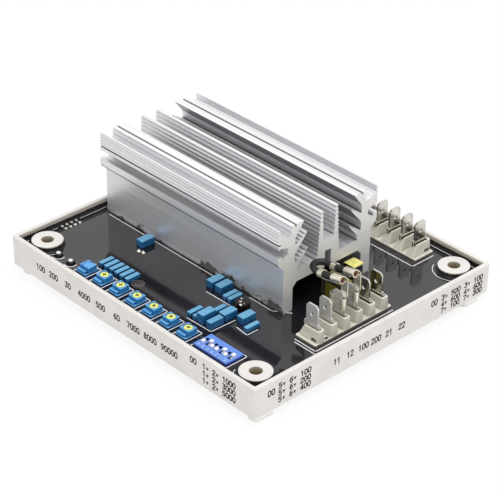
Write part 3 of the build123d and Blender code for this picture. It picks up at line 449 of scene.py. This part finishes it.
def make_finishes():
    """One material for each material slot of the part."""
    # Painted light for the plastics: top is a lighter colour for upward faces, edge a painted highlight
    # and hollow a painted shade for slots and corners.
    blue = {"top": colour(92, 164, 222), "edge": colour(150, 210, 242), "hollow": colour(8, 36, 84)}
    film = {"top": colour(106, 168, 204), "edge": colour(136, 190, 222), "hollow": colour(8, 34, 62)}
    switch = {"top": colour(98, 140, 220), "edge": colour(150, 178, 232), "hollow": colour(10, 22, 70)}
    cream = {"edge": colour(232, 230, 218), "hollow": colour(112, 104, 86), "reach": 0.002}
    shell = {"edge": colour(232, 230, 227), "hollow": colour(176, 164, 146), "reach": 0.004}
    finishes = {
        "tray": plastic("tray", colour(217, 213, 209), 0.5, rounding=0.0004, **shell),
        "device": plastic("device", colour(38, 38, 40), 0.55),
        "core": plastic("core", colour(34, 33, 34), 0.6, grain=500.0),
        "terminal_plastic": plastic("terminal_plastic", colour(216, 213, 200), 0.42, **cream),
        "wire": plastic("wire", colour(30, 28, 30), 0.38),
        "switch_body": plastic("switch_body", colour(34, 66, 160), 0.3, **switch),
        "slider": plastic("slider", colour(244, 244, 246), 0.35),
        "trimmer_body": plastic("trimmer_body", colour(30, 124, 190), 0.28, **blue),
        "film_capacitor": plastic("film_capacitor", colour(32, 98, 146), 0.26, tone=0.14, **film),
        "disc": plastic("disc", colour(40, 66, 120), 0.35),
    }
    add_plug_colour(finishes["trimmer_body"])
    add_inside_colour(finishes["tray"])
    finishes = {slot: finish.material for slot, finish in finishes.items()}
    finishes.update({
        "board": board_finish(),
        "resin": resin_finish(),
        "heatsink": heatsink_finish(),
        "screw_steel": metal_finish("screw_steel", colour(190, 190, 192), colour(140, 140, 144), 0.3),
        "coil": coil_finish(),
        "tape": tape_finish(),
        "blade": metal_finish("blade", colour(222, 220, 214), colour(196, 192, 184), 0.16),
        # Painted light, partly: a lighter, part-metal copy of the blade finish stands in for the light
        # the first blades catch, with a rougher satin surface.
        "satin_blade": metal_finish("satin_blade", colour(226, 224, 220), colour(208, 206, 200), 0.42,
                                    metallic=0.7),
        "receptacle": metal_finish("receptacle", colour(240, 236, 222), colour(212, 204, 184), 0.24,
                                   metallic=0.85),
        "strands": strand_finish(),
        "rotor": rotor_finish(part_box("trimmer_rotor_2")[1][2]),
        "electrolytic": electrolytic_finish(),
        "led": led_finish(),
        "pin": metal_finish("pin", colour(244, 242, 236), colour(206, 202, 192), 0.3, metallic=0.7),
    })
    return finishes


def make_piece(name, points, faces, material, smooth=False):
    """A mesh that rides on the base, from points in metres."""
    mesh = bpy.data.meshes.new(name)
    mesh.from_pydata(points, [], faces)
    for polygon in mesh.polygons:
        polygon.use_smooth = smooth
    mesh.materials.append(material)
    piece = bpy.data.objects.new(name, mesh)
    bpy.context.scene.collection.objects.link(piece)
    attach(piece, "base")
    return piece


class Print:
    """Flat strokes in one plane: origin, and the directions of the page to the right and up."""

    def __init__(self, origin, right, up):
        self.origin = Vector(origin)
        self.right = Vector(right)
        self.up = Vector(up)
        self.points = []
        self.faces = []

    def patch(self, corners):
        """One flat face through the corners."""
        start = len(self.points)
        for u, v in corners:
            self.points.append((self.origin + self.right * u + self.up * v) / 1000)
        self.faces.append(tuple(range(start, start + len(corners))))

    def stroke(self, route, width):
        """Straight ribbons from point to point, with square ends."""
        half = width / 2
        for (u0, v0), (u1, v1) in zip(route, route[1:]):
            length = math.hypot(u1 - u0, v1 - v0)
            au, av = (u1 - u0) / length * half, (v1 - v0) / length * half
            self.patch([(u0 - au + av, v0 - av - au), (u1 + au + av, v1 + av - au),
                        (u1 + au - av, v1 + av + au), (u0 - au - av, v0 - av + au)])

    def ring(self, centre, radius, width, start=0.0, sweep=360.0):
        """A round line, or part of one, in degrees from the page's right."""
        count = max(8, round(sweep / 12))
        angles = [math.radians(start + sweep * place / count) for place in range(count + 1)]
        near, far = radius - width / 2, radius + width / 2
        for first, second in zip(angles, angles[1:]):
            corners = [(near, first), (far, first), (far, second), (near, second)]
            self.patch([(centre[0] + reach * math.cos(angle), centre[1] + reach * math.sin(angle))
                        for reach, angle in corners])

    def outline(self, low, high, margin, width):
        """A rectangle round a box on the page."""
        u0, v0, u1, v1 = low[0] - margin, low[1] - margin, high[0] + margin, high[1] + margin
        self.stroke([(u0, v0), (u1, v0), (u1, v1), (u0, v1), (u0, v0)], width)

    def number(self, text, middle, width=DIGIT_WIDTH, height=DIGIT_HEIGHT, step=DIGIT_STEP,
               stroke=PRINT_STROKE):
        """Digits centred on a point of the page. A caret is a small solid triangle."""
        first = middle[0] - (len(text) - 1) * step / 2
        for place, digit in enumerate(text):
            if digit == "^":
                u, v = first + place * step, middle[1] - height * 0.1
                half, top = width * 0.6, v + height * 0.3
                self.patch([(u - half, top), (u, v - height * 0.4), (u + half, top)])
                continue
            for route in DIGITS[digit]:
                points = [(first + place * step + (u - 0.5) * width, middle[1] + (v - 0.5) * height)
                          for u, v in route]
                self.stroke(points, stroke)

    def finish(self, name, material):
        make_piece(name, self.points, self.faces, material)


# Strokes of each digit in a square of one by one, as lists of points
ROUND = [(0.3, 0), (0.7, 0), (1, 0.25), (1, 0.75), (0.7, 1), (0.3, 1), (0, 0.75), (0, 0.25), (0.3, 0)]
DIGITS = {
    "0": [ROUND],
    "1": [[(0.2, 0.8), (0.55, 1), (0.55, 0)]],
    "2": [[(0, 0.78), (0.25, 1), (0.75, 1), (1, 0.75), (0, 0), (1, 0)]],
    "3": [[(0, 1), (1, 1), (0.45, 0.6), (0.8, 0.55), (1, 0.3), (0.75, 0), (0.2, 0), (0, 0.2)]],
    "4": [[(0.75, 0), (0.75, 1), (0, 0.3), (1, 0.3)]],
    "5": [[(0.95, 1), (0.1, 1), (0.05, 0.55), (0.7, 0.6), (1, 0.35), (0.7, 0), (0, 0.05)]],
    "6": [[(0.85, 1), (0.3, 0.85), (0, 0.4), (0.25, 0), (0.75, 0), (1, 0.3), (0.7, 0.58), (0.05, 0.45)]],
    "7": [[(0, 1), (1, 1), (0.35, 0)]],
    "8": [[(0.5, 0.54), (0.1, 0.75), (0.3, 1), (0.7, 1), (0.9, 0.75), (0.5, 0.54), (0, 0.25), (0.25, 0),
           (0.75, 0), (1, 0.25), (0.5, 0.54)]],
    "9": [[(0.15, 0), (0.7, 0.15), (1, 0.6), (0.75, 1), (0.25, 1), (0, 0.7), (0.3, 0.42), (0.95, 0.55)]],
    " ": [],
}


def make_wall_print(material):
    """Generic numbers where the walls carry their printed labels."""
    left = Print((0, WALL_SET_IN - TRAY_HALF_Y - PRINT_LIFT, 0), (1, 0, 0), (0, -WALL_LEAN, 1))
    labels = {-55.8: "100", -47.2: "200", -37.7: "30", -27.0: "4000", -16.5: "500", -6.2: "60",
              4.1: "7000", 14.5: "8000", 26.0: "90000"}
    for x, text in labels.items():
        left.number(text, (x, LABEL_MIDDLE))
    left.number("00", (40.2, 13.2))
    row = {"step": 1.9, "height": ROW_DIGIT_HEIGHT}
    for text, z in (("1^ 2^ 1000", 13.5), ("1^ 2^ 3000", 10.2), ("1^ 2^ 5000", 6.9)):
        left.number(text, (55.0, z), **row)
    left.finish("wall_print_left", material)
    right = Print((TRAY_HALF_X - WALL_SET_IN + PRINT_LIFT, 0, 0), (0, 1, 0), (WALL_LEAN, 0, 1))
    labels = {-23.0: "11", -15.6: "12", -8.0: "100", -0.8: "200", 6.6: "21", 14.1: "22"}
    for y, text in labels.items():
        right.number(text, (y, LABEL_MIDDLE))
    right.number("00", (-58.5, 12.2))
    row = {"step": 1.95, "height": ROW_DIGIT_HEIGHT}
    for text, z in (("5^ 6^ 100", 13.4), ("5^ 6^ 200", 10.1), ("5^ 6^ 400", 6.9)):
        right.number(text, (-46.0, z), **row)
    right.number("00", (33.4, 12.6))
    pairs = (("3^ 500", "3^ 100", 13.0), ("4^ 600", "4^ 600", 9.8), ("7^ 100", "7^ 300", 6.7))
    for first, second, z in pairs:
        right.number(first, (43.5, z), **row)
        right.number(second, (57.5, z), **row)
    right.finish("wall_print_right", material)


def level_print(height):
    """A page that lies flat, just over a height."""
    return Print((0, 0, height + PRINT_LIFT), (1, 0, 0), (0, 1, 0))


def make_silkscreen(material):
    """White outlines round the parts on the board, and two rings."""
    silk = level_print(RESIN_TOP)
    routes = [
        [(-66, -21.4), (6, -21.2)],
        [(23, -21.2), (36, -21.2), (42.7, -16.4)],
        [(8, -31.3), (21.5, -31.1)],
        [(17, -49.9), (30.7, -49.5), (31.2, -37)],
        [(35.3, -39.7), (42, -40.5), (42.1, -34.7)],
        [(56.7, -28.3), (68.2, -28.3), (68.2, 15.6)],
        [(58, -29.8), (69.7, -29.8), (69.7, 14.0)],
        [(27.1, 45.9), (51.1, 45.9), (51.1, 58.7)],
    ]
    for route in routes:
        silk.stroke(route, SILK_STROKE)
    for number in range(1, TRIMMERS + 1):
        low, high = box_mm("trimmer_body_" + str(number))
        silk.outline(low, high, TRIMMER_MARGIN, SILK_STROKE)
    silk.outline(*box_mm("dip_switch_body"), SWITCH_MARGIN, SILK_STROKE)
    for number in (1, 2):
        low, high = box_mm("indicator_led_" + str(number))
        centre = ((low[0] + high[0]) / 2, (low[1] + high[1]) / 2)
        silk.ring(centre, LED_RING_RADIUS, SILK_STROKE, -110, 130)
    for place in BOSSES:
        silk.ring(place, BOSS_RING_RADIUS, BOSS_RING_STROKE, -160, 150)
    low, high = box_mm("potting_resin")
    left, right, back = low[0] + BORDER_INSET, high[0] - BORDER_INSET, high[1] - BORDER_INSET
    silk.stroke([(left, -48.0), (left, -45.5)], BORDER_STROKE)
    silk.stroke([(left, -33.0), (left, back), (right, back), (right, -48.0)], BORDER_STROKE)
    silk.finish("silkscreen", material)
    rings = level_print(RESIN_TOP)
    for radius in BOARD_RINGS_RADII:
        rings.ring(BOARD_RINGS_PLACE, radius, SILK_STROKE)
    rings.finish("board_rings", plastic("ring_ink", colour(104, 96, 94), 0.4).material)


def make_switch_print(material):
    """A small number in front of each slider."""
    low, high = box_mm("dip_switch_body")
    face = level_print(high[2])
    for number in range(1, SWITCH_WAYS + 1):
        start, end = box_mm("dip_slider_" + str(number))
        middle = ((start[0] + end[0]) / 2, low[1] + SWITCH_DIGIT_INSET)
        face.number(str(number), middle, width=0.7, height=1.2, stroke=0.22)
    face.finish("switch_print", material)


def ring_points(centre, angle, profile_steps):
    """Points of a profile at one angle round a centre, in metres."""
    return [((centre[0] + reach * math.cos(angle)) / 1000,
             (centre[1] + reach * math.sin(angle)) / 1000, (RESIN_TOP + rise) / 1000)
            for reach, rise in profile_steps]


def make_resin_rim(material):
    """Where the pour creeps up the tray's walls and the bosses: a hollow fillet.

    The profile gives the distance from the wall and the rise over the pour.
    """
    (left, front, _), (right, back, _) = box_mm("potting_resin")
    profile = [(0.0, 1.9), (0.15, 1.0), (0.45, 0.3), (0.8, 0.03)]
    corner = 0.9
    walls = []
    for u, v, turn in ((right, back, 0), (left, back, 90), (left, front, 180), (right, front, 270)):
        for step in range(5):
            angle = math.radians(turn + 22.5 * step)
            centre = (u - math.copysign(corner, u), v - math.copysign(corner, v))
            walls.append((centre, angle, corner, -1))
    points, faces = [], []
    loops = [walls]
    for place in BOSSES:
        loops.append([(place, math.radians(10 * step), BOSS_RADIUS, 1) for step in range(36)])
    for loop in loops:
        start, rows = len(points), len(profile)
        for centre, angle, radius, side in loop:
            steps = [(radius + side * inset, rise) for inset, rise in profile]
            points += ring_points(centre, angle, steps)
        for place in range(len(loop)):
            after = (place + 1) % len(loop)
            for row in range(rows - 1):
                faces.append((start + place * rows + row, start + after * rows + row,
                              start + after * rows + row + 1, start + place * rows + row + 1))
    piece = make_piece("resin_rim", points, faces, material, smooth=True)


def make_solder(material):
    """Solder cones with their wire ends, standing proud of the pour.

    The profile gives the radius and the rise over the pour.
    """
    profile = [(0.95, 0.0), (0.75, 0.1), (0.48, 0.3), (0.34, 0.6), (0.26, 0.85), (0.15, 0.9), (0.0, 0.92)]
    points, faces = [], []
    sides = 16
    for centre in SOLDER_PLACES:
        start = len(points)
        for step in profile:
            for side in range(sides):
                points += ring_points(centre, 2 * math.pi * side / sides, [step])
        for row in range(len(profile) - 1):
            for side in range(sides):
                after = (side + 1) % sides
                faces.append((start + row * sides + side, start + row * sides + after,
                              start + (row + 1) * sides + after, start + (row + 1) * sides + side))
    piece = make_piece("solder", points, faces, material, smooth=True)


def make_floor():
    """Pale floor: it takes the object's shadow, and is nearly white to the camera."""
    bpy.ops.mesh.primitive_plane_add(size=FLOOR_SIZE)
    floor = bpy.context.object
    floor.name = "floor"
    finish = Finish("floor", Roughness=0.9)
    grain = finish.noise(40.0)
    finish.set("Base Color", finish.ramp(grain, (0.3, 0.80), (0.7, 0.82)))
    output = finish.tree.nodes["Material Output"]
    glow = finish.add("ShaderNodeEmission", Color=(1, 1, 1, 1), Strength=1.0)
    path = finish.add("ShaderNodeLightPath").outputs
    seen = finish.calc("MAXIMUM", path["Is Camera Ray"], path["Is Glossy Ray"])
    seen = finish.calc("MAXIMUM", seen, path["Is Transmission Ray"])
    share = finish.calc("MULTIPLY", seen, FLOOR_GLOW)
    mix = finish.add("ShaderNodeMixShader")
    finish.feed(mix.inputs[0], share)
    finish.feed(mix.inputs[1], finish.shader.outputs[0])
    finish.feed(mix.inputs[2], glow.outputs[0])
    finish.feed(output.inputs["Surface"], mix.outputs[0])
    floor.data.materials.append(finish.material)


def make_light():
    """White surroundings, and one round lamp overhead."""
    world = bpy.data.worlds.new("studio")
    bpy.context.scene.world = world
    world.use_nodes = True
    background = world.node_tree.nodes["Background"]
    background.inputs["Color"].default_value = (1, 1, 1, 1)
    background.inputs["Strength"].default_value = 1.0
    lamp = bpy.data.lights.new("key", "AREA")
    lamp.shape = "DISK"
    lamp.size = KEY_SIZE
    lamp.energy = KEY_POWER
    key = bpy.data.objects.new("key", lamp)
    key.location = KEY_PLACE
    key.rotation_euler = Vector(key.location).to_track_quat("Z", "Y").to_euler()
    bpy.context.scene.collection.objects.link(key)


def make_camera():
    """A pinhole camera at the named place, turned by its azimuth, elevation and roll."""
    azimuth, elevation = math.radians(CAMERA_AZIMUTH), math.radians(CAMERA_ELEVATION)
    level = math.cos(elevation)
    back = Vector((math.sin(azimuth) * level, -math.cos(azimuth) * level, math.sin(elevation)))
    right = (-back).cross(Vector((0, 0, 1))).normalized()
    up = right.cross(-back)
    roll = math.radians(CAMERA_ROLL)
    turned_right = right * math.cos(roll) + up * math.sin(roll)
    turned_up = up * math.cos(roll) - right * math.sin(roll)
    data = bpy.data.cameras.new("camera")
    data.lens = CAMERA_LENS
    data.sensor_width = 36.0
    data.clip_start = 0.01
    camera = bpy.data.objects.new("camera", data)
    matrix = camera.matrix_world.copy()
    for row in range(3):
        matrix[row][0] = turned_right[row]
        matrix[row][1] = turned_up[row]
        matrix[row][2] = back[row]
        matrix[row][3] = CAMERA_PLACE[row] / 1000
    camera.matrix_world = matrix
    bpy.context.scene.collection.objects.link(camera)
    bpy.context.scene.camera = camera


# The scene
finishes = make_finishes()
ink = plastic("ink", colour(30, 28, 30), 0.5).material
white_ink = plastic("white_ink", colour(226, 226, 228), 0.5).material
for node in nodes.values():
    slot = node.material_slots[0]
    slot.material = finishes[slot.material.name]
# These blades take the lighter satin copy of the blade finish: painted light.
for number in range(1, SATIN_BLADES + 1):
    nodes["front_blade_" + str(number)].material_slots[0].material = finishes["satin_blade"]
make_wall_print(ink)
make_silkscreen(white_ink)
make_switch_print(white_ink)
make_resin_rim(plastic("resin_rim", colour(20, 18, 20), 0.45).material)
make_solder(finishes["pin"])
make_floor()
make_light()
make_camera()
bpy.context.scene.view_settings.view_transform = "Standard"
